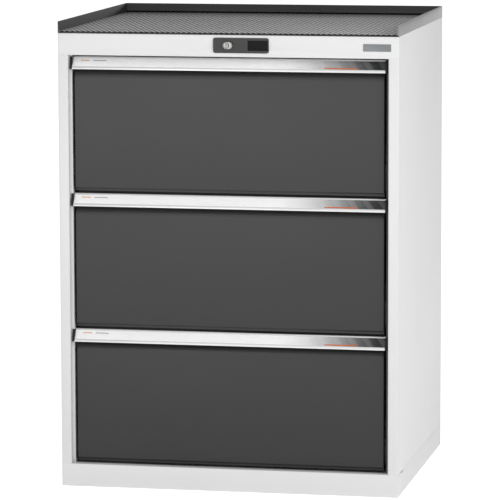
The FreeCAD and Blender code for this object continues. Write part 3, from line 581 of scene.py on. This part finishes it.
# %% One rhombus: a four-sided face, a smaller one inside for the rib's top, and a sunk floor
face = node(lattice, "GeometryNodeMeshCircle", fill_type="NGON")
face.inputs["Vertices"].default_value = 4
face.inputs["Radius"].default_value = 1.0
half_size = node(lattice, "ShaderNodeCombineXYZ")
linked(times(given["Pitch"], 0.5), half_size.inputs["X"])
linked(times(given["Length"], 0.5), half_size.inputs["Y"])
half_size.inputs["Z"].default_value = 1.0
rhombus = node(lattice, "GeometryNodeTransform")
linked(face.outputs["Mesh"], rhombus.inputs["Geometry"])
linked(half_size.outputs[0], rhombus.inputs["Scale"])


def inset(source, chosen, scale, drop):
    """Extrude the chosen face and shrink and lower what it leaves."""
    extruded = node(lattice, "GeometryNodeExtrudeMesh", mode="FACES")
    extruded.inputs["Individual"].default_value = False
    extruded.inputs["Offset Scale"].default_value = 1.0
    linked(source, extruded.inputs["Mesh"])
    if chosen is not None:
        linked(chosen, extruded.inputs["Selection"])
    offset = node(lattice, "ShaderNodeCombineXYZ")
    linked(drop, offset.inputs["Z"])
    linked(offset.outputs[0], extruded.inputs["Offset"])
    shrunk = node(lattice, "GeometryNodeScaleElements", domain="FACE")
    linked(extruded.outputs["Mesh"], shrunk.inputs["Geometry"])
    linked(extruded.outputs["Top"], shrunk.inputs["Selection"])
    linked(scale, shrunk.inputs["Scale"])
    return shrunk.outputs["Geometry"], extruded.outputs["Top"]


open_share = maths(lattice, "SUBTRACT", 1.0, given["Rib"])
ribbed, inner = inset(rhombus.outputs["Geometry"], None, open_share, times(given["Depth"], 0.0))
sunk, inner = inset(ribbed, inner, times(open_share, 1.3), times(given["Depth"], -1.0))

# %% Two grids of points, the second half a pitch across and half a length along
copies = node(lattice, "GeometryNodeJoinGeometry")
for shift in (0.0, 0.5):
    grid = node(lattice, "GeometryNodeMeshGrid")
    step = node(lattice, "ShaderNodeCombineXYZ")
    for axis, count, size in (("X", "Across", "Pitch"), ("Y", "Along", "Length")):
        steps = maths(lattice, "SUBTRACT", given[count], 1.0)
        linked(times(given[size], steps), grid.inputs[f"Size {axis}"])
        linked(given[count], grid.inputs[f"Vertices {axis}"])
        linked(times(given[size], shift), step.inputs[axis])
    moved = node(lattice, "GeometryNodeTransform")
    linked(grid.outputs["Mesh"], moved.inputs["Geometry"])
    linked(step.outputs[0], moved.inputs["Translation"])
    placed = node(lattice, "GeometryNodeInstanceOnPoints")
    linked(moved.outputs["Geometry"], placed.inputs["Points"])
    linked(sunk, placed.inputs["Instance"])
    linked(placed.outputs["Instances"], copies.inputs["Geometry"])
realized = node(lattice, "GeometryNodeRealizeInstances")
linked(copies.outputs["Geometry"], realized.inputs["Geometry"])
merged = node(lattice, "GeometryNodeMergeByDistance")
merged.inputs["Distance"].default_value = 0.02 * MM
linked(realized.outputs["Geometry"], merged.inputs["Geometry"])
painted = node(lattice, "GeometryNodeSetMaterial")
linked(merged.outputs["Geometry"], painted.inputs["Geometry"])
linked(given["Finish"], painted.inputs["Material"])
linked(painted.outputs["Geometry"], lattice.nodes.new("NodeGroupOutput").inputs["Geometry"])
print("mat lattice tree:", len(lattice.nodes), "nodes")


# %% Run the tree and read its mesh
def grown(name, tree, values):
    """An object whose mesh comes from a geometry node tree with the given inputs."""
    piece = new_piece(name, bpy.data.meshes.new(name))
    modifier = piece.modifiers.new(name, "NODES")
    modifier.node_group = tree
    for socket in tree.interface.items_tree:
        if socket.in_out == "INPUT" and socket.name in values:
            modifier[socket.identifier] = values[socket.name]
    return baked(piece)


spare = 4
mat = grown(
    "rubber_mat_lattice",
    lattice,
    {
        "Pitch": hollow_pitch,
        "Length": hollow_length,
        "Depth": rib_top - hollow_floor,
        "Rib": rib_share,
        "Across": int((mat_high.x - mat_low.x) / hollow_pitch) + spare,
        "Along": int((mat_high.y - mat_low.y) / hollow_length) + spare,
        "Finish": rubber,
    },
)
print("mat lattice:", len(mat.data.polygons), "faces")

# %% Cut the mat to the tray and close its edges
centre = (mat_low + mat_high) / 2
row = hollow_length / 2
row_y = mat_low.y + row * round((centre.y - mat_low.y) / row)
mat.data.transform(Matrix.Translation((centre.x, row_y, rib_top)))
shape = bmesh.new()
shape.from_mesh(mat.data)
walls = (
    (Vector((mat_low.x, 0, 0)), Vector((-1, 0, 0))),
    (Vector((mat_high.x, 0, 0)), Vector((1, 0, 0))),
    (Vector((0, mat_low.y, 0)), Vector((0, -1, 0))),
    (Vector((0, mat_high.y, 0)), Vector((0, 1, 0))),
)
for point, outward in walls:
    everything = shape.verts[:] + shape.edges[:] + shape.faces[:]
    bmesh.ops.bisect_plane(
        shape, geom=everything, plane_co=point, plane_no=outward, clear_outer=True
    )
rim = [edge for edge in shape.edges if edge.is_boundary]
skirt = bmesh.ops.extrude_edge_only(shape, edges=rim)
for vertex in (item for item in skirt["geom"] if isinstance(item, bmesh.types.BMVert)):
    vertex.co.z = mat_low.z
bmesh.ops.remove_doubles(shape, verts=shape.verts, dist=WELD)
open_edges = [edge for edge in shape.edges if edge.is_boundary]
bmesh.ops.holes_fill(shape, edges=open_edges, sides=0)
bmesh.ops.recalc_face_normals(shape, faces=shape.faces)
shape.to_mesh(mat.data)
shape.free()
finished(mat, "cabinet", rubber)
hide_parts("rubber_mat")
print("mat:", len(mat.data.polygons), "faces")

# %% [markdown]
# ## Thin plates and strips
#
# Some trim is too thin to matter for the cabinet's shape, and is made here only: a bare name
# plate at the fascia's right end, a black strip behind the mat that is a painted shadow along
# its back edge, a dark strip over the right stile's ledge, in front of the bar that locks the
# drawers, and a dust strip on the back of each lower handle, which fills most of the gap above
# it. All are thin upright plates with rounded corners, so one helper makes them.

# %% Make a thin plate
PLATE = 0.8 * MM


def rounded_plate(name, sides, heights, front, radius, body, made):
    """A thin upright plate with rounded corners between two sides and two heights."""
    left, right = sides
    low, high = heights
    steps = 6
    shape = bmesh.new()
    corners = []
    for x, side, z, lift, start in (
        (right, 1, high, 1, 0),
        (left, -1, high, 1, 90),
        (left, -1, low, -1, 180),
        (right, 1, low, -1, 270),
    ):
        for step in range(steps + 1):
            angle = math.radians(start + 90 * step / steps)
            round_x = x - side * radius + radius * math.cos(angle)
            round_z = z - lift * radius + radius * math.sin(angle)
            corners.append(shape.verts.new((round_x, front, round_z)))
    face = shape.faces.new(corners)
    grown_face = bmesh.ops.extrude_face_region(shape, geom=[face])
    for vertex in (item for item in grown_face["geom"] if isinstance(item, bmesh.types.BMVert)):
        vertex.co.y -= PLATE
    bmesh.ops.recalc_face_normals(shape, faces=shape.faces)
    mesh = bpy.data.meshes.new(name)
    shape.to_mesh(mesh)
    shape.free()
    piece = new_piece(name, mesh)
    bevel = piece.modifiers.new("Rounded edges", "BEVEL")
    bevel.width = 0.25 * PLATE
    bevel.segments = 2
    finished(smoothed(baked(piece)), body, made)


# %% The name plate
fascia_low, fascia_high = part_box("front_fascia")
rounded_plate(
    "name_plate", (0.2978, 0.3583), (0.9683, 0.9843), fascia_low.y, 1.2 * MM,
    "cabinet", badge_grey,
)

# %% A black strip behind the mat: a painted shadow along the mat's back edge
rounded_plate(
    "mat_back_shadow", (mat_low.x, mat_high.x), (mat_low.z, rib_top + 3.6 * MM), mat_high.y, 0.6 * MM,
    "cabinet", shadow_black,
)

# %% The cover strip beside the drawers
face_low, face_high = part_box("drawer_front_1")
foot_low, foot_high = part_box("base_frame")
rounded_plate(
    "lock_cover_strip", (0.3472, 0.3524), (foot_high.z + 1.0 * MM, fascia_low.z - 0.5 * MM),
    face_low.y, 0.6 * MM, "cabinet", plate_paint,
)

# %% The dust strips behind the lower handles
for number in drawers[1:]:
    grip_low, grip_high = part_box(f"drawer_handle_{number}")
    above_low, above_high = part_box(f"drawer_front_{number - 1}")
    rounded_plate(
        f"dust_strip_{number}", (face_low.x + 2.0 * MM, face_high.x - 2.0 * MM),
        (grip_high.z, above_low.z - 0.6 * MM), grip_high.y - 0.2 * MM, 0.6 * MM,
        f"drawer_{number}", black_plastic,
    )

# %% [markdown]
# ## The camera
#
# The camera stands a little to the right and above, far away with a long lens, so the sides
# hardly taper. Its angles, its distance and the picture's centre come from the photograph's own
# perspective, in pixels of a picture 500 wide.

# %% The camera
azimuth, elevation, roll = (math.radians(angle) for angle in (11.44, 7.55, -0.17))
target, distance = Vector((0.048, -0.317, 0.544)), 7.623
picture, focal_length, centre_x, centre_y = 500, 3520, 249.1, 245.8
sensor = 36.0
level = math.cos(elevation)
ahead = Vector((-math.sin(azimuth) * level, math.cos(azimuth) * level, -math.sin(elevation)))
right = Vector((math.cos(azimuth), math.sin(azimuth), 0))
up = right.cross(ahead)
turned_right = math.cos(roll) * right + math.sin(roll) * up
turned_up = math.cos(roll) * up - math.sin(roll) * right
lens = bpy.data.cameras.new("Camera")
lens.sensor_width = sensor
lens.lens = focal_length / picture * sensor
lens.shift_x = (picture / 2 - centre_x) / picture
lens.shift_y = (centre_y - picture / 2) / picture
lens.clip_end = 200
camera = bpy.data.objects.new("Camera", lens)
scene.collection.objects.link(camera)
turn = Matrix((turned_right, turned_up, -ahead)).transposed()
camera.matrix_world = Matrix.Translation(target - ahead * distance) @ turn.to_4x4()
scene.camera = camera
print("camera at", [round(part, 2) for part in camera.matrix_world.translation])

# %% [markdown]
# ## Floor and light
#
# A studio's white floor is lit so well that it shows no edge. Here it is pale and glows a little
# of its own. The light is a wide pale room with three soft lamps: one before the front, one
# beside the right wall and one high up.

# %% The floor
bpy.ops.mesh.primitive_plane_add(size=120, location=(0, 0, cad_low.z))
floor = bpy.context.object
floor.name = "floor"
floor_finish = bpy.data.materials.new("Floor")
floor_finish.use_nodes = True
shader = floor_finish.node_tree.nodes["Principled BSDF"]
shader.inputs["Base Color"].default_value = grey(0.9)
shader.inputs["Roughness"].default_value = 0.9
shader.inputs["Emission Color"].default_value = (1, 1, 1, 1)
shader.inputs["Emission Strength"].default_value = 0.46
floor.data.materials.append(floor_finish)

# %% The room
light_strength, seen_strength = 0.67, 1.06
world = bpy.data.worlds.new("Pale room")
world.use_nodes = True
room = world.node_tree
backdrop = room.nodes["Background"].inputs
backdrop["Color"].default_value = (1, 1, 1, 1)
seen = node(room, "ShaderNodeLightPath").outputs["Is Camera Ray"]
room.links.new(ranged(room, seen, 0.0, 1.0, light_strength, seen_strength), backdrop["Strength"])
scene.world = world
scene.view_settings.view_transform = "Standard"

# %% The lamps: name, place, size, power and the point that each one looks at
for name, place, size, power, aim in (
    ("Front lamp", (-1.0, -3.3, 1.0), 1.8, 34.0, (-0.1, -0.3, 0.5)),
    ("Side lamp", (2.1, -1.5, 1.5), 1.0, 34.0, (0.4, -0.1, 0.6)),
    ("High lamp", (-0.6, -2.2, 4.0), 3.0, 21.0, (0, 0, 0.5)),
):
    data = bpy.data.lights.new(name, "AREA")
    data.size = size
    data.energy = power
    lamp = bpy.data.objects.new(name, data)
    lamp.location = place
    lamp.rotation_euler = (Vector(aim) - Vector(place)).to_track_quat("-Z", "Y").to_euler()
    scene.collection.objects.link(lamp)
print(len(bpy.data.lights), "lamps")
